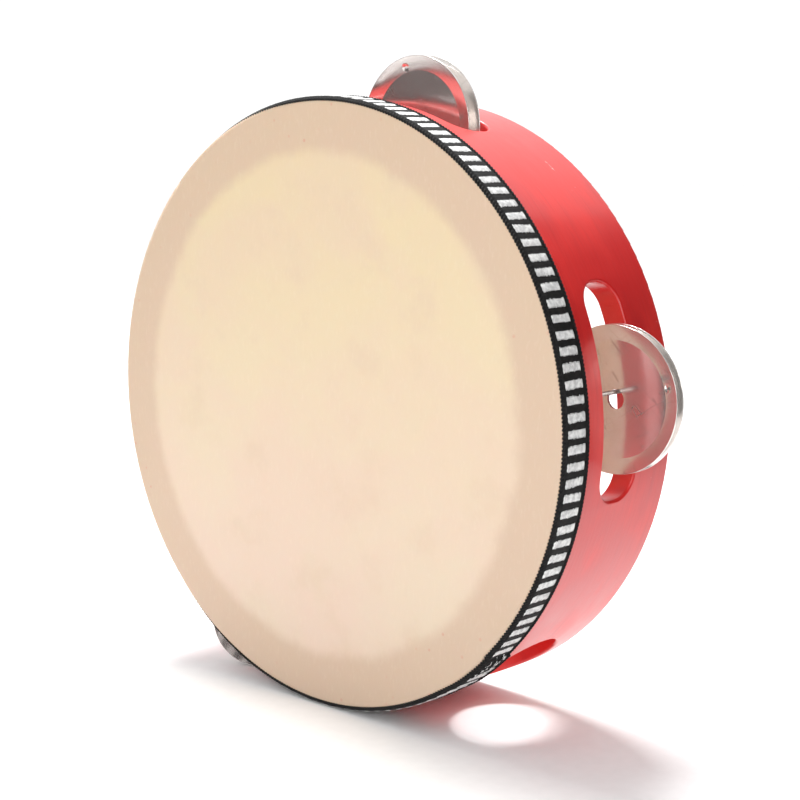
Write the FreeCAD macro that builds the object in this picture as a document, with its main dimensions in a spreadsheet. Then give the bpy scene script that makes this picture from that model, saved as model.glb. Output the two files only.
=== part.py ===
import FreeCAD, Part
import math
import os
import Sketcher

# A 153 mm tambourine standing on its rim. The hoop's axis runs along Y, the head faces -Y and
# Z is up. The origin is the middle of the bounding box at floor level. Every body is drawn with
# the hoop's axis on its own Y axis, or with a jingle's or pin's own axis there, and is then placed.

DRIVING_DIMENSIONS = [
    ("hoop_radius", 76.5, "outer face of the wooden hoop"),
    ("hoop_wall", 5.8, "thickness of the hoop's wood"),
    ("hoop_depth", 43.1, "face of the head to the back edge"),
    ("hoop_rounding", 1.0, "rounding of the hoop's four edges"),
    ("head_thickness", 0.45, "skin"),
    ("head_flange", 8.0, "how far the skin is folded over the hoop"),
    ("braid_thickness", 0.5, "woven trim"),
    ("braid_front", 1.2, "front edge of the trim behind the head's face"),
    ("braid_width", 7.5, "woven trim"),
    ("braid_join_angle", -71.0, "where the overlapping end starts, from +X toward +Z"),
    ("braid_join_sweep", 9.0, "angle that the trim overlaps itself"),
    ("slot_length", 50.8, "along the hoop"),
    ("slot_width", 13.2, "across the hoop"),
    ("slot_corner", 5.8, "corner radius of a slot"),
    ("slot_depth_from_face", 22.2, "middle of the slots behind the head's face"),
    ("slot_rounding", 0.6, "rounding of the slots' and the grip hole's outer edges"),
    ("slot_first_angle", 7.0, "right-hand slot"),
    ("slot_pitch", 76.5, "angle between two slots"),
    ("grip_hole_radius", 14.3, "thumb hole"),
    ("grip_hole_from_face", 24.2, "middle of the thumb hole behind the head's face"),
    ("grip_hole_angle", -57.2, "halfway between the last slot and the first"),
    ("pin_radius", 0.5, "nail that carries a pair of jingles"),
    ("pin_clearance", 0.05, "between a nail and its hole, on the radius"),
    ("pin_tip", 7.0, "tip of a nail behind the head's face"),
    ("pin_head_radius", 1.2, "nail head, sunk in the hoop's back edge"),
    ("pin_head_height", 0.6, "nail head"),
    ("jingle_radius", 17.5, "steel disc"),
    ("jingle_hole", 2.3, "radius of the hole in a disc"),
    ("jingle_flat", 13.8, "radius of the flat middle of a disc"),
    ("jingle_rise", 1.02, "how far the flared rim stands off the flat middle"),
    ("jingle_sheet", 0.3, "steel sheet"),
    ("jingle_gap", 0.15, "between the backs of the two discs of a pair"),
    ("dimple_circle", 14.5, "distance of the punched dimple from a disc's axis"),
    ("dimple_ball", 2.2, "radius of the punch"),
    ("dimple_depth", 0.25, "depth of the dimple"),
    ("right_angle", 6.8, "nail in the right-hand slot"),
    ("right_circle", 74.0, "distance of that nail from the hoop's axis"),
    ("right_pair", 24.2, "middle of the pair behind the head's face"),
    ("top_angle", 78.5, "nail in the top slot"),
    ("top_circle", 73.0, "distance of that nail from the hoop's axis"),
    ("top_pair", 21.2, "middle of the pair behind the head's face"),
    ("top_spread", 1.6, "how far the rear disc of the top pair has slid back on its nail"),
    ("left_angle", 160.0, "nail in the left-hand slot, hidden by the head"),
    ("left_circle", 74.0, "distance of that nail from the hoop's axis"),
    ("left_pair", 22.2, "middle of the pair behind the head's face"),
    ("lower_angle", -122.1, "nail in the lower slot"),
    ("lower_circle", 74.0, "distance of that nail from the hoop's axis"),
    ("lower_pair", 20.1, "middle of the pair behind the head's face"),
    ("lower_lean", 41.0, "how far the lower pair leans forward with its outer edge on the floor"),
]

DERIVED_DIMENSIONS = [
    ("hoop_inner", "hoop_radius - hoop_wall", "inner face of the hoop"),
    ("head_outer", "hoop_radius + head_thickness", "skin folded over the hoop"),
    ("braid_outer", "head_outer + braid_thickness", "outer face of the trim, the lowest point"),
    ("hang", "jingle_hole - pin_radius - pin_clearance", "how far a disc hangs below its nail"),
    ("axis_x", "-(right_circle * cos(right_angle * 1deg) + left_circle * cos(left_angle * 1deg)) / 2",
     "the hoop's axis, which the side jingles push off the middle"),
    ("axis_z", "braid_outer", "the hoop's axis above the floor"),
    ("face_y", "-hoop_depth / 2", "the head's face"),
]

# name, then the dimple's turn on the front and on the rear disc
STATIONS = [
    ("right", 15, 205),
    ("top", 104, 320),
    ("left", 250, 40),
    ("lower", 170, 300),
]


def make_sheet(doc):
    """Put the driving and the derived dimensions in a spreadsheet called dims."""
    sheet = doc.addObject("Spreadsheet::Sheet", "dims")
    row = 1
    for alias, value, note in DRIVING_DIMENSIONS:
        sheet.set("A%d" % row, note)
        sheet.set("B%d" % row, str(value))
        sheet.setAlias("B%d" % row, alias)
        row += 1
    for alias, formula, note in DERIVED_DIMENSIONS:
        sheet.set("A%d" % row, note)
        sheet.set("B%d" % row, "=" + formula)
        sheet.setAlias("B%d" % row, alias)
        row += 1
    doc.recompute()
    return sheet


def dims(formula):
    """Turn a formula of bare dimension names into one that reads them from the sheet."""
    names = [row[0] for row in DRIVING_DIMENSIONS + DERIVED_DIMENSIONS]
    words = []
    word = ""
    for letter in formula + " ":
        if letter.isalnum() or letter == "_":
            word += letter
            continue
        words.append("dims." + word if word in names else word)
        words.append(letter)
        word = ""
    return "".join(words).strip()


def new_body(doc, label):
    body = doc.addObject("PartDesign::Body", label)
    body.Label = label
    return body


def origin_item(body, role):
    return [item for item in body.Origin.OriginFeatures if item.Role == role][0]


def new_sketch(body, name, plane):
    sketch = body.newObject("Sketcher::SketchObject", name)
    sketch.AttachmentSupport = [(origin_item(body, plane), "")]
    sketch.MapMode = "FlatFace"
    return sketch


def pin_point(sketch, geo, pos, x_formula, y_formula):
    """Fix a sketch point at two formulas, measured from the sketch's origin."""
    for kind, formula in (("DistanceX", x_formula), ("DistanceY", y_formula)):
        index = sketch.addConstraint(Sketcher.Constraint(kind, -1, 1, geo, pos, 1.0))
        sketch.setExpression("Constraints[%d]" % index, dims(formula))


def outline(sketch, start_points, formulas):
    """Draw a closed outline of straight lines through corners given by formulas."""
    count = len(start_points)
    for i in range(count):
        first = FreeCAD.Vector(*start_points[i], 0)
        second = FreeCAD.Vector(*start_points[(i + 1) % count], 0)
        sketch.addGeometry(Part.LineSegment(first, second))
    for i in range(count):
        sketch.addConstraint(Sketcher.Constraint("Coincident", i, 2, (i + 1) % count, 1))
    for i in range(count):
        pin_point(sketch, i, 1, *formulas[i])


def revolve(body, name, sketch, angle=None):
    """Turn a sketch about the Y axis of its plane."""
    feature = body.newObject("PartDesign::Revolution", name)
    feature.Profile = sketch
    feature.ReferenceAxis = (sketch, ["V_Axis"])
    feature.Angle = 360.0
    if angle:
        feature.setExpression("Angle", dims(angle))
    body.Document.recompute()
    return feature


def round_edges(body, name, base, edges, size):
    feature = body.newObject("PartDesign::Fillet", name)
    feature.Base = (base, edges)
    feature.setExpression("Radius", dims(size))
    body.Document.recompute()
    return feature


def circles_at(shape, wanted):
    """Name the full circular edges with the given radii and places along Y."""
    found = []
    for index, edge in enumerate(shape.Edges, 1):
        curve = edge.Curve
        if curve.TypeId != "Part::GeomCircle":
            continue
        for radius, y in wanted:
            if abs(curve.Radius - radius) < 0.01 and abs(curve.Center.y - y) < 0.01:
                found.append("Edge%d" % index)
    return found


def place(body, x="axis_x", y="face_y", z="axis_z"):
    """Move a body from its own axis to its place in the tambourine."""
    for axis, formula in (("x", x), ("y", y), ("z", z)):
        body.setExpression("Placement.Base." + axis, dims(formula))


def turned_sketch(body, name, angle_formula):
    """A sketch whose plane faces outward from the hoop's axis at an angle from +X toward +Z."""
    sketch = new_sketch(body, name, "YZ_Plane")
    sketch.AttachmentOffset = FreeCAD.Placement(
        FreeCAD.Vector(0, 0, 0), FreeCAD.Rotation(FreeCAD.Vector(1, 0, 0), -30))
    sketch.setExpression("AttachmentOffset.Rotation.Angle", dims("-(%s)" % angle_formula))
    return sketch


def cut_outward(body, name, sketch):
    """Cut a sketch on the hoop's axis outward through one side of the hoop."""
    feature = body.newObject("PartDesign::Pocket", name)
    feature.Profile = sketch
    feature.Type = 1
    feature.Reversed = True
    body.Document.recompute()
    return feature


def slot_sketch(body, name, angle_formula):
    """A rectangle with round corners: X runs along the hoop's axis and Y around the hoop."""
    sketch = turned_sketch(body, name, angle_formula)
    corners = [
        ("slot_depth_from_face - slot_width / 2", "-slot_length / 2", 1, 1),
        ("slot_depth_from_face + slot_width / 2", "-slot_length / 2", -1, 1),
        ("slot_depth_from_face + slot_width / 2", "slot_length / 2", -1, -1),
        ("slot_depth_from_face - slot_width / 2", "slot_length / 2", 1, -1),
    ]
    places = [(15.6, -25.6), (28.8, -25.6), (28.8, 25.6), (15.6, 25.6)]
    radius = 4.0
    for i in range(4):
        x0, y0 = places[i]
        x1, y1 = places[(i + 1) % 4]
        along = FreeCAD.Vector(x1 - x0, y1 - y0, 0).normalize()
        sketch.addGeometry(Part.LineSegment(
            FreeCAD.Vector(x0, y0, 0) + along * radius, FreeCAD.Vector(x1, y1, 0) - along * radius))
    for i in range(4):
        x0, y0 = places[i]
        centre = FreeCAD.Vector(x0 + corners[i][2] * radius, y0 + corners[i][3] * radius, 0)
        start = math.radians(180 + 90 * i)
        circle = Part.Circle(centre, FreeCAD.Vector(0, 0, 1), radius)
        sketch.addGeometry(Part.ArcOfCircle(circle, start, start + math.pi / 2))
    for i in range(4):
        sketch.addConstraint(Sketcher.Constraint("Tangent", 4 + i, 2, i, 1))
        sketch.addConstraint(Sketcher.Constraint("Tangent", i, 2, 4 + (i + 1) % 4, 1))
    for i in range(4):
        x_formula, y_formula, x_side, y_side = corners[i]
        pin_point(sketch, 4 + i, 3,
                  "%s + %d * slot_corner" % (x_formula, x_side),
                  "%s + %d * slot_corner" % (y_formula, y_side))
    for arc in (5, 6, 7):
        sketch.addConstraint(Sketcher.Constraint("Equal", 4, arc))
    index = sketch.addConstraint(Sketcher.Constraint("Radius", 4, radius))
    sketch.setExpression("Constraints[%d]" % index, dims("slot_corner"))
    return sketch


def opening_edges(shape, radius):
    """Name the edges where the slots and the grip hole break the outer face."""
    found = []
    for index, edge in enumerate(shape.Edges, 1):
        points = edge.discretize(9)
        distances = [math.hypot(point.x, point.z) for point in points]
        inside = all(8 < point.y < 40 for point in points)
        if inside and all(abs(distance - radius) < 0.01 for distance in distances):
            found.append("Edge%d" % index)
    return found


def make_hoop(doc, sheet):
    """The bent wooden hoop: a ring with four jingle slots, a thumb hole and four nail holes."""
    body = new_body(doc, "hoop")
    ring = new_sketch(body, "hoop_section", "XY_Plane")
    outline(ring, [(71, 1), (76, 1), (76, 43), (71, 43)], [
        ("hoop_inner", "head_thickness"),
        ("hoop_radius", "head_thickness"),
        ("hoop_radius", "hoop_depth"),
        ("hoop_inner", "hoop_depth"),
    ])
    last = revolve(body, "hoop_ring", ring)
    ends = [sheet.head_thickness, sheet.hoop_depth]
    wanted = [(radius, y) for radius in (sheet.hoop_inner, sheet.hoop_radius) for y in ends]
    last = round_edges(body, "hoop_edges", last, circles_at(last.Shape, wanted), "hoop_rounding")
    for i in range(len(STATIONS)):
        angle = "slot_first_angle + %d * slot_pitch" % i
        sketch = slot_sketch(body, "slot_outline_%d" % (i + 1), angle)
        last = cut_outward(body, "slot_%d" % (i + 1), sketch)
    grip = turned_sketch(body, "grip_outline", "grip_hole_angle")
    grip.addGeometry(Part.Circle(FreeCAD.Vector(23, 0, 0), FreeCAD.Vector(0, 0, 1), 14))
    index = grip.addConstraint(Sketcher.Constraint("Radius", 0, 14.0))
    grip.setExpression("Constraints[%d]" % index, dims("grip_hole_radius"))
    index = grip.addConstraint(Sketcher.Constraint("DistanceX", -1, 1, 0, 3, 23.0))
    grip.setExpression("Constraints[%d]" % index, dims("grip_hole_from_face"))
    grip.addConstraint(Sketcher.Constraint("PointOnObject", 0, 3, -1))
    last = cut_outward(body, "grip_hole", grip)
    edges = opening_edges(last.Shape, sheet.hoop_radius)
    last = round_edges(body, "opening_edges", last, edges, "slot_rounding")
    drill_nail_holes(body, "nail_holes", "pin_radius + pin_clearance",
                     "hoop_depth - pin_tip + 4 * pin_clearance")
    drill_nail_holes(body, "nail_head_seats", "pin_head_radius + pin_clearance",
                     "pin_head_height + pin_clearance")
    place(body)
    return body


def drill_nail_holes(body, name, radius, depth):
    """Four blind holes from the back edge, each on its nail's axis."""
    sketch = new_sketch(body, name + "_centres", "XZ_Plane")
    sketch.setExpression("AttachmentOffset.Base.z", dims("-hoop_depth"))
    for i, station in enumerate(STATIONS):
        angle = math.radians(45 + 90 * i)
        centre = FreeCAD.Vector(74 * math.cos(angle), 74 * math.sin(angle), 0)
        sketch.addGeometry(Part.Circle(centre, FreeCAD.Vector(0, 0, 1), 1.0))
        index = sketch.addConstraint(Sketcher.Constraint("Radius", i, 1.0))
        sketch.setExpression("Constraints[%d]" % index, dims(radius))
        pin_point(sketch, i, 3, "%s_circle * cos(%s_angle * 1deg)" % (station[0], station[0]),
                  "%s_circle * sin(%s_angle * 1deg)" % (station[0], station[0]))
    feature = body.newObject("PartDesign::Pocket", name)
    feature.Profile = sketch
    feature.setExpression("Length", dims(depth))
    feature.Reversed = True
    body.Document.recompute()
    return feature


def make_head(doc, sheet):
    """The skin: a flat disc folded back over the hoop's edge."""
    body = new_body(doc, "drum_head")
    section = new_sketch(body, "head_section", "XY_Plane")
    outline(section, [(0, 0), (77, 0), (77, 8), (76.5, 8), (76.5, 0.5), (0, 0.5)], [
        ("0", "0"),
        ("head_outer", "0"),
        ("head_outer", "head_flange"),
        ("hoop_radius", "head_flange"),
        ("hoop_radius", "head_thickness"),
        ("0", "head_thickness"),
    ])
    cap = revolve(body, "head_cap", section)
    outer = circles_at(cap.Shape, [(sheet.head_outer, 0)])
    fold = round_edges(body, "head_fold", cap, outer, "hoop_rounding + head_thickness")
    inner = circles_at(fold.Shape, [(sheet.hoop_radius, sheet.head_thickness)])
    round_edges(body, "head_inner_fold", fold, inner, "hoop_rounding")
    place(body)
    return body


def make_braid(doc):
    """The woven trim: a flat band round the fold, with its end lapped over its start."""
    body = new_body(doc, "braid_trim")
    band = new_sketch(body, "braid_section", "XY_Plane")
    outline(band, [(77, 1), (77.5, 1), (77.5, 9), (77, 9)], [
        ("head_outer", "braid_front"),
        ("braid_outer", "braid_front"),
        ("braid_outer", "braid_front + braid_width"),
        ("head_outer", "braid_front + braid_width"),
    ])
    revolve(body, "braid_band", band)
    lap = new_sketch(body, "braid_lap_section", "XY_Plane")
    lap.AttachmentOffset = FreeCAD.Placement(
        FreeCAD.Vector(0, 0, 0), FreeCAD.Rotation(FreeCAD.Vector(0, 1, 0), 30))
    lap.setExpression("AttachmentOffset.Rotation.Angle", dims("-braid_join_angle"))
    outline(lap, [(77.3, 1.4), (78, 1.4), (78, 8.6), (77.3, 8.6)], [
        ("braid_outer - braid_thickness / 2", "braid_front + braid_thickness / 2"),
        ("braid_outer + braid_thickness", "braid_front + braid_thickness / 2"),
        ("braid_outer + braid_thickness", "braid_front + braid_width - braid_thickness / 2"),
        ("braid_outer - braid_thickness / 2", "braid_front + braid_width - braid_thickness / 2"),
    ])
    lapped = revolve(body, "braid_lap", lap, "braid_join_sweep")
    lapped.Reversed = True
    doc.recompute()
    place(body)
    return body


def make_pin(doc, station):
    """A nail through one slot, driven in from the hoop's back edge."""
    body = new_body(doc, "pin_" + station)
    section = new_sketch(body, "pin_%s_section" % station, "XY_Plane")
    outline(section, [(0, 7), (0.5, 8), (0.5, 42), (1.2, 42), (1.2, 43), (0, 43)], [
        ("0", "pin_tip"),
        ("pin_radius", "pin_tip + 2 * pin_radius"),
        ("pin_radius", "hoop_depth - pin_head_height"),
        ("pin_head_radius", "hoop_depth - pin_head_height"),
        ("pin_head_radius", "hoop_depth"),
        ("0", "hoop_depth"),
    ])
    revolve(body, "pin_%s_turned" % station, section)
    place(body, "axis_x + %s_circle * cos(%s_angle * 1deg)" % (station, station), "face_y",
          "axis_z + %s_circle * sin(%s_angle * 1deg)" % (station, station))
    return body


def make_jingle(doc, sheet, label):
    """A steel disc: a flat middle with a hole, a flared rim and one punched dimple."""
    body = new_body(doc, label)
    section = new_sketch(body, label + "_section", "XY_Plane")
    outline(section, [(2, 0), (14, 0), (17, -1), (17, -1.5), (14, -0.5), (2, -0.5)], [
        ("jingle_hole", "0"),
        ("jingle_flat", "0"),
        ("jingle_radius", "-jingle_rise"),
        ("jingle_radius", "-jingle_rise - jingle_sheet"),
        ("jingle_flat", "-jingle_sheet"),
        ("jingle_hole", "-jingle_sheet"),
    ])
    disc = revolve(body, label + "_disc", section)
    lip = -sheet.jingle_rise
    edges = circles_at(disc.Shape, [
        (sheet.jingle_radius, lip), (sheet.jingle_radius, lip - sheet.jingle_sheet)])
    disc = round_edges(body, label + "_lip", disc, edges, "jingle_sheet * 0.4")
    punch = body.newObject("PartDesign::SubtractiveSphere", label + "_dimple")
    punch.AttachmentSupport = [(origin_item(body, "XY_Plane"), "")]
    punch.MapMode = "FlatFace"
    punch.setExpression("Radius", dims("dimple_ball"))
    punch.setExpression("AttachmentOffset.Base.x", dims("dimple_circle"))
    slope = "jingle_rise * (dimple_circle - jingle_flat) / (jingle_radius - jingle_flat)"
    punch.setExpression("AttachmentOffset.Base.y", dims(
        "-jingle_sheet - %s - dimple_ball + dimple_depth" % slope))
    doc.recompute()
    return body


def hanging_centre(sheet, station, angle):
    """The middle of a pair of discs that hangs plumb on its nail."""
    circle = getattr(sheet, station + "_circle")
    return FreeCAD.Vector(
        sheet.axis_x + circle * math.cos(math.radians(angle)),
        sheet.face_y + getattr(sheet, station + "_pair"),
        sheet.axis_z + circle * math.sin(math.radians(angle)) - sheet.hang)


def resting_shift(sheet, centre, stand, side):
    """Slide a leaning disc in its own plane until its edge rests on the floor."""
    normal = stand.multVec(FreeCAD.Vector(0, 1, 0))
    uphill = FreeCAD.Vector(0, 0, 1) - normal * normal.z
    slope = uphill.Length
    lip = side * sheet.jingle_rise + max(side, 0) * sheet.jingle_sheet
    lowest = centre.z + normal.z * lip - sheet.jingle_radius * slope
    return uphill * (-lowest / slope ** 2)


def place_jingle(body, sheet, station, side, dimple_turn):
    """Put a disc on its nail; side is -1 for the front disc and 1 for the rear one.

    A pair lies back to back, so the rear disc is turned round. The lower pair leans forward
    about the hoop's tangent through its nail, with the edge of each disc on the floor.
    """
    angle = getattr(sheet, station + "_angle")
    leans = station == "lower"
    spin = FreeCAD.Rotation(FreeCAD.Vector(0, 1, 0), -dimple_turn)
    flip = FreeCAD.Rotation(FreeCAD.Vector(0, 0, 1), 180 if side > 0 else 0)
    outward = FreeCAD.Rotation(FreeCAD.Vector(0, 1, 0), -angle)
    tilt = FreeCAD.Rotation(FreeCAD.Vector(0, 0, 1), -sheet.lower_lean if leans else 0)
    stand = outward.multiply(tilt).multiply(outward.inverted())
    centre = hanging_centre(sheet, station, angle)
    centre += stand.multVec(FreeCAD.Vector(0, side * sheet.jingle_gap / 2, 0))
    if leans:
        centre += resting_shift(sheet, centre, stand, side)
    if station == "top" and side > 0:
        centre.y += sheet.top_spread
    body.Placement = FreeCAD.Placement(centre, stand.multiply(flip).multiply(spin))


def check_document(doc):
    for item in doc.Objects:
        if "Invalid" in item.State or "Error" in item.State:
            raise RuntimeError("%s is %s" % (item.Name, item.State))


def main():
    doc = FreeCAD.newDocument("tambourine")
    sheet = make_sheet(doc)
    bodies = [make_hoop(doc, sheet), make_head(doc, sheet), make_braid(doc)]
    for station, front_turn, rear_turn in STATIONS:
        bodies.append(make_pin(doc, station))
        for side, end, turn in ((-1, "front", front_turn), (1, "rear", rear_turn)):
            jingle = make_jingle(doc, sheet, "jingle_%s_%s" % (station, end))
            place_jingle(jingle, sheet, station, side, turn)
            bodies.append(jingle)
    doc.recompute()
    check_document(doc)
    os.makedirs("parts", exist_ok=True)
    for body in bodies:
        shape = body.Shape
        if shape.isNull() or not shape.isValid():
            raise RuntimeError(body.Label + " has no valid shape")
        shape.exportStep("parts/%s.step" % body.Label)
        box = shape.BoundBox
        print("%-20s volume %10.1f  solids %d  box %s" % (
            body.Label, shape.Volume, len(shape.Solids),
            [round(v, 2) for v in (box.XMin, box.XMax, box.YMin, box.YMax, box.ZMin, box.ZMax)]))


main()
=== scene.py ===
import math
import random

import bpy
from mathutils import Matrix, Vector


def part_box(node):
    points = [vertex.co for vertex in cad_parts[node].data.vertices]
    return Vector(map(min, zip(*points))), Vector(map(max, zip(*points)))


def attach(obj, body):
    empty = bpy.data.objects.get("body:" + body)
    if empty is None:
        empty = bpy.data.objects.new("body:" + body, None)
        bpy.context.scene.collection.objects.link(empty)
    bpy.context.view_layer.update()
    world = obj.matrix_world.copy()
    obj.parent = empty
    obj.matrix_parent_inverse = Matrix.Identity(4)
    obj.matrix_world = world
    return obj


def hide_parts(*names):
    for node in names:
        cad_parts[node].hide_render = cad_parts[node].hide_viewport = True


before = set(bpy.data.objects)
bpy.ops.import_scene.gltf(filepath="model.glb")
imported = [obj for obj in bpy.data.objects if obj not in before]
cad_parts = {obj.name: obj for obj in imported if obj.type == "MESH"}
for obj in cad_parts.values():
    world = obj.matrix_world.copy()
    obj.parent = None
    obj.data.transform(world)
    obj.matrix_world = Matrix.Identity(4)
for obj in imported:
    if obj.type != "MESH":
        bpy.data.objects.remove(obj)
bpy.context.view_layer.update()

MM = 0.001
CAMERA_PLACE = (0.29159, -0.31262, 0.14130)
CAMERA_AZIMUTH = 42.409
CAMERA_DOWN = 8.509
CAMERA_LENS = 74.888

# The hoop's axis runs along Y. These places come from the CAD nodes.
HOOP_LOW, HOOP_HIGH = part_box("hoop")
HEAD_LOW, HEAD_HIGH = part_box("drum_head")
AXIS_X = (HEAD_LOW.x + HEAD_HIGH.x) / 2
AXIS_Z = (HEAD_LOW.z + HEAD_HIGH.z) / 2
FACE_Y = HEAD_LOW.y
HOOP_RADIUS = (HOOP_HIGH.x - HOOP_LOW.x) / 2
SKIN_RADIUS = (HEAD_HIGH.x - HEAD_LOW.x) / 2
TRIM_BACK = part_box("braid_trim")[1].y

# The woven trim: silver bars on a black ribbon, with a twisted cord along each edge.
BAR_COUNT = 131
THREADS_PER_BAR = 15
BAR_SHARE = 0.57
BAR_START = 0.80 * MM
BAR_END = 7.1 * MM
RIBBON_THICKNESS = 0.30 * MM
RIBBON_FRONT = 0.30 * MM
RIBBON_BACK_GAP = 0.2 * MM
RIBBON_DRIFT = 1.5 * MM
RIB_HEIGHT = 0.045 * MM
ROWS_PER_BAR = 12
ROWS_PER_RIB = 3.0
EDGE_TUCK = 0.60 * MM
LAP_HEIGHT = 0.42 * MM
THREAD_HEIGHT = 0.24 * MM
CORD_RADIUS = 0.52 * MM
CORD_TURNS = BAR_COUNT * 2
CORD_STRANDS = 2
JOIN_START = -58.0
JOIN_END = -44.5
FRAY_START = -49.5
FRAY_END = -44.8


# ---------------------------------------------------------------- node helpers

class Nodes:
    """Short calls for building one material's node tree."""

    def __init__(self, name):
        self.material = bpy.data.materials.new(name)
        self.material.use_nodes = True
        self.tree = self.material.node_tree
        self.shader = self.tree.nodes["Principled BSDF"]
        self.place = self.add("ShaderNodeTexCoord").outputs["Object"]

    def add(self, kind):
        return self.tree.nodes.new(kind)

    def join(self, value, socket):
        """Sets a socket to a number or colour, or links it to another node's output."""
        if isinstance(value, bpy.types.NodeSocket):
            self.tree.links.new(value, socket)
        else:
            socket.default_value = value

    def maths(self, operation, first, second=0.0):
        node = self.add("ShaderNodeMath")
        node.operation = operation
        self.join(first, node.inputs[0])
        self.join(second, node.inputs[1])
        return node.outputs[0]

    def vector(self, operation, first, second):
        node = self.add("ShaderNodeVectorMath")
        node.operation = operation
        self.join(first, node.inputs[0])
        self.join(second, node.inputs[1])
        return node.outputs[0]

    def length(self, vector):
        node = self.add("ShaderNodeVectorMath")
        node.operation = "LENGTH"
        self.join(vector, node.inputs[0])
        return node.outputs["Value"]

    def parts(self, vector):
        node = self.add("ShaderNodeSeparateXYZ")
        self.join(vector, node.inputs[0])
        return node.outputs

    def whole(self, x, y, z):
        node = self.add("ShaderNodeCombineXYZ")
        for value, socket in zip((x, y, z), node.inputs):
            self.join(value, socket)
        return node.outputs[0]

    def stretched(self, x, y, z):
        """The place on the object, scaled by this much along each axis."""
        return self.vector("MULTIPLY", self.place, (x, y, z))

    def noise(self, vector, detail=3.0, roughness=0.5, distortion=0.0):
        node = self.add("ShaderNodeTexNoise")
        self.join(vector, node.inputs["Vector"])
        node.inputs["Scale"].default_value = 1.0
        node.inputs["Detail"].default_value = detail
        node.inputs["Roughness"].default_value = roughness
        node.inputs["Distortion"].default_value = distortion
        return node.outputs["Fac"]

    def cells(self, vector, scale):
        node = self.add("ShaderNodeTexVoronoi")
        self.join(vector, node.inputs["Vector"])
        node.inputs["Scale"].default_value = scale
        return node.outputs["Distance"]

    def span(self, value, low, high, new_low=0.0, new_high=1.0, smooth=True):
        """value from low..high becomes new_low..new_high, and stays inside them."""
        node = self.add("ShaderNodeMapRange")
        node.interpolation_type = "SMOOTHSTEP" if smooth else "LINEAR"
        self.join(value, node.inputs["Value"])
        node.inputs["From Min"].default_value = low
        node.inputs["From Max"].default_value = high
        node.inputs["To Min"].default_value = new_low
        node.inputs["To Max"].default_value = new_high
        return node.outputs["Result"]

    def mixed(self, share, first, second):
        node = self.add("ShaderNodeMix")
        node.data_type = "RGBA"
        self.join(share, node.inputs["Factor"])
        self.join(first, node.inputs["A"])
        self.join(second, node.inputs["B"])
        return node.outputs["Result"]

    def bump(self, height, depth, strength=1.0, under=None):
        node = self.add("ShaderNodeBump")
        node.inputs["Strength"].default_value = strength
        node.inputs["Distance"].default_value = depth
        self.join(height, node.inputs["Height"])
        if under is not None:
            self.join(under, node.inputs["Normal"])
        return node.outputs["Normal"]

    def finish(self, **values):
        for name, value in values.items():
            self.join(value, self.shader.inputs[name.replace("_", " ")])
        return self.material

    def from_axis(self, centre_x, centre_z):
        """(distance from a line along Y, angle round it in radians)."""
        x, _, z = self.parts(self.place)
        dx = self.maths("SUBTRACT", x, centre_x)
        dz = self.maths("SUBTRACT", z, centre_z)
        square = self.maths("ADD", self.maths("MULTIPLY", dx, dx), self.maths("MULTIPLY", dz, dz))
        return self.maths("SQRT", square), self.maths("ARCTAN2", dz, dx)


def colour(red, green, blue):
    return (red, green, blue, 1.0)


# ---------------------------------------------------------------- materials

def painted_wood():
    """Glossy red paint over bent wood: faint grain along the hoop, small specks, a short pale streak."""
    n = Nodes("red_paint")
    clouds = n.noise(n.stretched(40, 70, 40), detail=4.0)
    grain = n.noise(n.stretched(60, 900, 60), detail=5.0, roughness=0.6)
    pores = n.noise(n.stretched(260, 2600, 260), detail=2.0)
    orange_peel = n.noise(n.stretched(700, 700, 700), detail=2.0)
    specks = n.span(n.cells(n.stretched(1, 1, 1), 420.0), 0.03, 0.07, 1.0, 0.0)
    rare = n.span(n.noise(n.stretched(90, 90, 90), detail=2.0), 0.60, 0.66)
    specks = n.maths("MULTIPLY", specks, rare)

    base = n.mixed(n.span(clouds, 0.35, 0.68), colour(0.60, 0.014, 0.014), colour(0.74, 0.022, 0.018))
    base = n.mixed(n.span(grain, 0.45, 0.75, 0.0, 0.35), base, colour(0.50, 0.010, 0.012))
    base = n.mixed(n.maths("MULTIPLY", specks, 0.7), base, colour(0.92, 0.45, 0.42))
    # A short near-white streak high on the hoop's right side.
    base = n.mixed(pale_streak(n), base, colour(0.95, 0.85, 0.82))

    height = n.maths("ADD", n.maths("MULTIPLY", grain, 0.55), n.maths("MULTIPLY", pores, 0.25))
    coarse = n.bump(height, 0.10 * MM, 0.55)
    normal = n.bump(orange_peel, 0.03 * MM, 0.35, coarse)
    roughness = n.span(clouds, 0.3, 0.7, 0.30, 0.44)
    return n.finish(Base_Color=base, Roughness=roughness, Normal=normal, Coat_Weight=0.35,
                    Coat_Roughness=0.16, Specular_IOR_Level=0.5)


def pale_streak(n):
    """A short, thin, near-white streak along the hoop, high on its right side."""
    _, angle = n.from_axis(AXIS_X, AXIS_Z)
    depth = n.maths("SUBTRACT", n.parts(n.place)[1], FACE_Y + 32.4 * MM)
    along = n.maths("MULTIPLY", n.maths("SUBTRACT", angle, math.radians(52.1)), HOOP_RADIUS)
    wander = n.noise(n.stretched(900, 200, 900), detail=3.0)
    offset = n.maths("ADD", depth, n.maths("MULTIPLY", n.maths("SUBTRACT", wander, 0.5), 1.2 * MM))
    narrow = n.span(n.maths("ABSOLUTE", offset), 0.06 * MM, 0.16 * MM, 1.0, 0.0)
    short = n.span(n.maths("ABSOLUTE", along), 1.3 * MM, 2.0 * MM, 1.0, 0.0)
    broken = n.span(n.noise(n.stretched(2500, 2500, 2500), detail=1.0), 0.45, 0.55)
    return n.maths("MULTIPLY", n.maths("MULTIPLY", narrow, short), broken)


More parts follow.
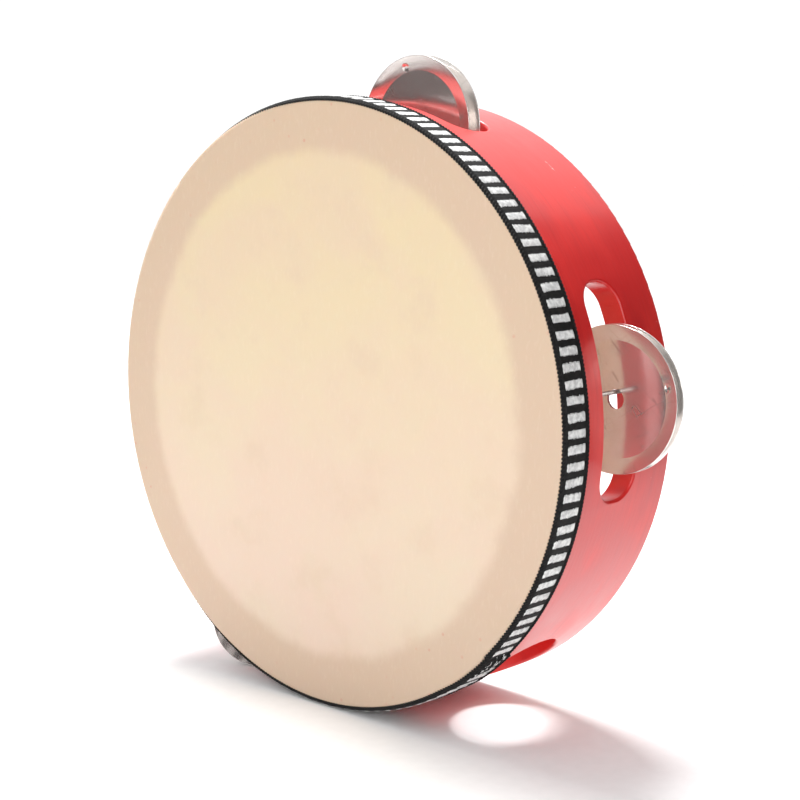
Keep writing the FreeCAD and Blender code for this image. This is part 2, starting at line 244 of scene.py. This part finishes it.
def stretched_skin():
    """Cream rawhide: cloudy yellow and pink, a ring of painted shade near the rim where the hoop stands
    behind the skin, fine fibres and red dust.
    """
    n = Nodes("rawhide")
    radius, _ = n.from_axis(AXIS_X, AXIS_Z)
    share = n.maths("DIVIDE", radius, SKIN_RADIUS)
    clouds = n.noise(n.stretched(22, 22, 22), detail=5.0, roughness=0.55, distortion=0.6)
    patches = n.noise(n.stretched(60, 60, 60), detail=4.0, roughness=0.6)
    fibres = n.noise(n.stretched(1500, 1500, 420), detail=4.0, roughness=0.65)
    wobble = n.maths("MULTIPLY", n.maths("SUBTRACT", patches, 0.5), 0.06)
    # Painted shade: a darker band near the rim, where the hoop stands behind the skin.
    rim_shade_band = n.span(n.maths("ADD", share, wobble), 0.80, 0.86)

    height = n.span(n.parts(n.place)[2], AXIS_Z - 0.8 * SKIN_RADIUS, AXIS_Z + 0.9 * SKIN_RADIUS)
    yellow = n.mixed(height, colour(0.67, 0.55, 0.42), colour(0.67, 0.545, 0.345))
    pink = n.mixed(height, colour(0.68, 0.525, 0.42), colour(0.66, 0.52, 0.36))
    base = n.mixed(n.span(clouds, 0.38, 0.62), pink, yellow)
    base = n.mixed(n.span(patches, 0.50, 0.72, 0.0, 0.4), base, colour(0.62, 0.475, 0.35))
    # Painted shade: the rim band is darkened here.
    base = n.mixed(n.maths("MULTIPLY", rim_shade_band, 0.85), base, colour(0.565, 0.415, 0.305))
    red_dust = n.maths("MULTIPLY", n.span(n.cells(n.stretched(1, 1, 1), 260.0), 0.05, 0.16, 1.0, 0.0), rim_shade_band)
    red_dust = n.maths("MULTIPLY", red_dust, n.span(clouds, 0.50, 0.60))
    base = n.mixed(n.maths("MULTIPLY", red_dust, 0.5), base, colour(0.58, 0.22, 0.18))
    base = n.mixed(n.span(fibres, 0.5, 0.8, 0.0, 0.15), base, colour(0.78, 0.68, 0.54))

    coarse = n.bump(patches, 0.25 * MM, 0.25)
    normal = n.bump(fibres, 0.05 * MM, 0.5, coarse)
    roughness = n.span(patches, 0.3, 0.7, 0.50, 0.64)
    return n.finish(Base_Color=base, Roughness=roughness, Normal=normal, Specular_IOR_Level=0.35,
                    Subsurface_Weight=0.12, Subsurface_Scale=0.6 * MM)


def disc_steel(name, centre):
    """Bright pressed steel: fine turning marks round the centre, scratches and finger smudges."""
    n = Nodes(name)
    offset = n.vector("SUBTRACT", n.place, tuple(centre))
    radius = n.length(offset)
    rings = n.noise(n.whole(n.maths("MULTIPLY", radius, 5200.0), 0.0, 0.0), detail=3.0, roughness=0.7)
    smudge = n.noise(n.stretched(130, 130, 130), detail=4.0, roughness=0.6)
    scratch = n.maths("MAXIMUM", scratches(n, 0.6, 1.0), scratches(n, -0.9, 1.7))

    base = n.mixed(n.span(smudge, 0.35, 0.75), colour(0.80, 0.76, 0.73), colour(0.70, 0.66, 0.63))
    base = n.mixed(n.maths("MULTIPLY", scratch, 0.35), base, colour(0.26, 0.22, 0.21))
    coarse = n.bump(rings, 0.012 * MM, 0.25)
    normal = n.bump(scratch, 0.01 * MM, 0.12, coarse)
    roughness = n.maths("ADD", n.span(smudge, 0.3, 0.75, 0.12, 0.22), n.maths("MULTIPLY", scratch, 0.08))
    return n.finish(Base_Color=base, Roughness=roughness, Normal=normal, Metallic=0.84)


def scratches(n, turn, seed):
    """Long thin scratches lying one way: the ridge lines of a noise that is stretched that way."""
    cosine = math.cos(turn)
    sine = math.sin(turn)
    x, y, z = n.parts(n.place)
    flat = n.maths("ADD", n.maths("MULTIPLY", x, cosine), n.maths("MULTIPLY", z, sine))
    tall = n.maths("SUBTRACT", n.maths("MULTIPLY", z, cosine), n.maths("MULTIPLY", x, sine))
    vector = n.whole(n.maths("MULTIPLY", flat, 40.0), n.maths("MULTIPLY", y, 30.0),
                     n.maths("MULTIPLY", tall, 420.0))
    value = n.noise(n.vector("ADD", vector, (seed * 7.0, 0.0, seed * 3.0)), detail=1.0)
    line = n.span(n.maths("ABSOLUTE", n.maths("SUBTRACT", value, 0.5)), 0.004, 0.012, 1.0, 0.0)
    patch = n.span(n.noise(n.stretched(160, 160, 160), detail=1.0), 0.52, 0.60)
    return n.maths("MULTIPLY", line, patch)


def nail_steel():
    """Plain drawn wire with dull spots."""
    n = Nodes("nail_wire")
    spots = n.noise(n.stretched(900, 900, 900), detail=3.0)
    drawn = n.noise(n.stretched(4000, 300, 4000), detail=2.0)
    base = n.mixed(n.span(spots, 0.4, 0.7), colour(0.42, 0.40, 0.38), colour(0.20, 0.16, 0.14))
    normal = n.bump(drawn, 0.01 * MM, 0.5)
    roughness = n.span(spots, 0.3, 0.7, 0.25, 0.5)
    return n.finish(Base_Color=base, Roughness=roughness, Normal=normal, Metallic=1.0)


def thread(name, dark, light, roughness, sheen, specular):
    """Spun yarn: fine twist lines and a slightly different tone from fibre to fibre."""
    n = Nodes(name)
    tone = n.noise(n.stretched(900, 900, 900), detail=3.0, roughness=0.6)
    twist = n.noise(n.stretched(5200, 2200, 5200), detail=2.0)
    base = n.mixed(n.span(tone, 0.32, 0.70), dark, light)
    normal = n.bump(twist, 0.03 * MM, 0.5)
    return n.finish(Base_Color=base, Roughness=roughness, Normal=normal, Sheen_Weight=sheen,
                    Sheen_Roughness=0.4, Specular_IOR_Level=specular)


def pale_floor():
    """A white studio sweep with a barely uneven matt surface."""
    n = Nodes("studio_white")
    paper = n.noise(n.stretched(300, 300, 300), detail=3.0)
    base = n.mixed(n.span(paper, 0.3, 0.7), colour(0.90, 0.90, 0.90), colour(0.92, 0.92, 0.92))
    return n.finish(Base_Color=base, Roughness=0.55, Specular_IOR_Level=0.25)


def give(obj, material):
    obj.data.materials.clear()
    obj.data.materials.append(material)


# ---------------------------------------------------------------- woven trim

def mesh_object(name, points, faces):
    mesh = bpy.data.meshes.new(name)
    mesh.from_pydata(points, [], faces)
    mesh.update()
    mesh.polygons.foreach_set("use_smooth", [True] * len(mesh.polygons))
    obj = bpy.data.objects.new(name, mesh)
    bpy.context.scene.collection.objects.link(obj)
    return obj


def drift(angle):
    """The ribbon was laid by hand: on the left it lies a little further from the skin's edge."""
    left = max(0.0, -math.cos(angle + 0.15) - 0.25) / 0.75
    return RIBBON_DRIFT * left


def trim_point(angle, behind, radius):
    """A point at this angle round the hoop, distance behind the skin's face, and radius."""
    y = FACE_Y + behind + drift(angle)
    return (AXIS_X + radius * math.cos(angle), y, AXIS_Z + radius * math.sin(angle))


def lap_lift(angle):
    """How far the ribbon stands out where its end laps over its start."""
    degrees = (math.degrees(angle) + 180.0) % 360.0 - 180.0
    if not JOIN_START <= degrees <= JOIN_END:
        return 0.0
    rise = min(1.0, (degrees - JOIN_START) / 5.0)
    return LAP_HEIGHT * rise


def ribbon_ground():
    """The black ribbon: fine cross ribs all round, with both of its edges tucked in."""
    rows = BAR_COUNT * ROWS_PER_BAR
    across = 44
    low = RIBBON_FRONT
    points = []
    for row in range(rows):
        angle = 2 * math.pi * row / rows
        lift = lap_lift(angle)
        for column in range(across + 1):
            behind = low + (TRIM_BACK - FACE_Y - low - RIBBON_BACK_GAP) * column / across
            rib = RIB_HEIGHT * math.cos(2 * math.pi * row / ROWS_PER_RIB)
            edge = min(behind - low, TRIM_BACK - FACE_Y - RIBBON_BACK_GAP - behind)
            tuck = EDGE_TUCK * max(0.0, 1.0 - edge / EDGE_TUCK) ** 2
            points.append(trim_point(angle, behind, SKIN_RADIUS + RIBBON_THICKNESS + rib + lift - tuck))
    faces = []
    width = across + 1
    for row in range(rows):
        first = row * width
        after = (row + 1) % rows * width
        for column in range(across):
            faces.append((first + column, after + column, after + column + 1, first + column + 1))
    return mesh_object("ribbon_ground", points, faces)


def float_thread(points, faces, middle, length, behind, width, height, lean):
    """One silver thread over the ribbon: an arched strip whose two ends dive into the weave."""
    steps = 6
    sides = 4
    start = len(points)
    for step in range(steps + 1):
        along = step / steps
        angle = middle + (along - 0.5) * length / SKIN_RADIUS
        arch = math.sin(math.pi * (0.06 + 0.88 * along)) ** 0.55
        for side in range(sides + 1):
            turn = math.pi * side / sides
            out = SKIN_RADIUS + RIBBON_THICKNESS - 0.06 * MM
            out = out + height * arch * math.sin(turn) + lap_lift(angle)
            offset = behind - 0.5 * width * math.cos(turn) + lean * (along - 0.5)
            points.append(trim_point(angle, offset, out))
    for step in range(steps):
        for side in range(sides):
            a = start + step * (sides + 1) + side
            b = a + sides + 1
            faces.append((a, b, b + 1, a + 1))


def silver_bars():
    """The bars: each is a row of threads side by side, lying along the hoop."""
    rng = random.Random(7)
    points = []
    faces = []
    pitch = 2 * math.pi / BAR_COUNT
    width = (BAR_END - BAR_START) / THREADS_PER_BAR
    for bar in range(BAR_COUNT):
        middle = pitch * (bar + 0.5) + rng.uniform(-0.03, 0.03) * pitch
        if FRAY_START < math.degrees(middle) - 360.0 < FRAY_END:
            continue
        length = pitch * SKIN_RADIUS * BAR_SHARE * rng.uniform(0.95, 1.05)
        lean = rng.uniform(-0.08, 0.08) * MM
        slant = rng.uniform(-0.05, 0.05) * pitch
        for i in range(THREADS_PER_BAR):
            behind = BAR_START + width * (i + 0.5)
            own = middle + slant * (i / THREADS_PER_BAR - 0.5) + rng.uniform(-0.02, 0.02) * pitch
            float_thread(points, faces, own, length * rng.uniform(0.93, 1.05), behind,
                         width * 1.05, THREAD_HEIGHT * rng.uniform(0.9, 1.1), lean)
    return mesh_object("silver_bars", points, faces)


def frayed_end(name, count, seed):
    """Loose threads at the ribbon's cut end, lying every way over one another."""
    rng = random.Random(seed)
    points = []
    faces = []
    for _ in range(count):
        middle = math.radians(rng.uniform(FRAY_START, FRAY_END))
        behind = rng.uniform(BAR_START, BAR_END)
        lean = rng.uniform(-1.3, 1.3) * MM
        float_thread(points, faces, middle, rng.uniform(0.9, 2.4) * MM, behind,
                     rng.uniform(0.16, 0.30) * MM, rng.uniform(0.22, 0.42) * MM, lean)
    return mesh_object(name, points, faces)


def edge_cord(name, radius, behind, thickness):
    """A twisted cord along an edge of the ribbon: strands wound round one another."""
    points = []
    faces = []
    steps = CORD_TURNS * 10
    sides = 8
    for strand in range(CORD_STRANDS):
        start = len(points)
        phase = 2 * math.pi * strand / CORD_STRANDS
        for step in range(steps):
            angle = 2 * math.pi * step / steps
            twist = CORD_TURNS * angle + phase
            centre_out = radius + 0.42 * thickness * math.cos(twist) + lap_lift(angle)
            centre_behind = behind + 0.42 * thickness * math.sin(twist)
            for side in range(sides):
                around = 2 * math.pi * side / sides
                out = centre_out + 0.62 * thickness * math.cos(around)
                back = centre_behind + 0.62 * thickness * math.sin(around)
                points.append(trim_point(angle, back, out))
        for step in range(steps):
            for side in range(sides):
                a = start + step * sides + side
                b = start + step * sides + (side + 1) % sides
                c = start + (step + 1) % steps * sides + (side + 1) % sides
                d = start + (step + 1) % steps * sides + side
                faces.append((a, b, c, d))
    return mesh_object(name, points, faces)


def woven_trim():
    black = thread("black_yarn", colour(0.003, 0.003, 0.003), colour(0.012, 0.011, 0.011), 0.75, 0.02, 0.25)
    silver = thread("silver_yarn", colour(0.50, 0.50, 0.50), colour(0.80, 0.80, 0.79), 0.38, 0.05, 0.5)
    ribbon = ribbon_ground()
    bars = silver_bars()
    front = edge_cord("front_edge_cord", SKIN_RADIUS - 0.55 * MM, 0.35 * MM, CORD_RADIUS)
    rear = edge_cord("rear_edge_cord", SKIN_RADIUS + 0.25 * MM, TRIM_BACK - FACE_Y - 0.55 * MM,
                     CORD_RADIUS * 0.8)
    dark_fray = frayed_end("frayed_black_threads", 110, 3)
    light_fray = frayed_end("frayed_silver_threads", 55, 5)
    for piece in (ribbon, front, rear, dark_fray):
        give(piece, black)
    for piece in (bars, light_fray):
        give(piece, silver)
    for piece in (ribbon, bars, front, rear, dark_fray, light_fray):
        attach(piece, "drum")
    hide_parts("braid_trim")


# ---------------------------------------------------------------- stage

def make_camera():
    data = bpy.data.cameras.new("photo_camera")
    data.sensor_width = 36.0
    data.lens = CAMERA_LENS
    camera = bpy.data.objects.new("photo_camera", data)
    camera.location = CAMERA_PLACE
    camera.rotation_euler = (math.radians(90.0 - CAMERA_DOWN), 0.0, math.radians(CAMERA_AZIMUTH))
    bpy.context.scene.collection.objects.link(camera)
    bpy.context.scene.camera = camera


def soft_light(name, offset, width, height, watts):
    """A soft box that stands this far from the middle of the object and faces it."""
    middle = Vector((AXIS_X, 0.0, AXIS_Z))
    data = bpy.data.lights.new(name, "AREA")
    data.shape = "RECTANGLE"
    data.size = width
    data.size_y = height
    data.energy = watts
    light = bpy.data.objects.new(name, data)
    light.location = middle + Vector(offset)
    light.rotation_euler = Vector(offset).to_track_quat("Z", "Y").to_euler()
    bpy.context.scene.collection.objects.link(light)


def dark_card(name, start, end, height):
    """A black card that stands on the floor, as in a studio, out of the camera's sight."""
    corners = [(*start, 0.0), (*end, 0.0), (*end, height), (*start, height)]
    card = mesh_object(name, corners, [(0, 1, 2, 3)])
    card.visible_camera = False
    give(card, Nodes(name + "_paint").finish(Base_Color=colour(0.02, 0.02, 0.02), Roughness=0.9))


def make_stage():
    half = 6.0
    corners = [(-half, -half, 0.0), (half, -half, 0.0), (half, half, 0.0), (-half, half, 0.0)]
    floor = mesh_object("floor", corners, [(0, 1, 2, 3)])
    give(floor, pale_floor())
    dark_card("front_card", (-1.0, -0.25), (-0.05, -0.75), 0.45)
    dark_card("side_card", (0.24, -0.10), (0.16, 0.90), 0.60)

    world = bpy.data.worlds.new("studio")
    world.use_nodes = True
    background = world.node_tree.nodes["Background"]
    background.inputs["Color"].default_value = (1.0, 1.0, 1.0, 1.0)
    background.inputs["Strength"].default_value = 1.1
    bpy.context.scene.world = world
    bpy.context.scene.view_settings.view_transform = "Standard"

    soft_light("key", (-0.30, 0.20, 1.15), 0.55, 0.24, 22.0)
    soft_light("front_fill", (0.62, -0.70, 0.26), 0.35, 0.35, 2.0)


def finish_cad_nodes():
    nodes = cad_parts
    give(nodes["hoop"], painted_wood())
    give(nodes["drum_head"], stretched_skin())
    nail = nail_steel()
    for name, node in nodes.items():
        if name.startswith("pin_"):
            give(node, nail)
        if name.startswith("jingle_"):
            low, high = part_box(name)
            give(node, disc_steel("steel_" + name, (low + high) / 2))


make_camera()
make_stage()
finish_cad_nodes()
woven_trim()
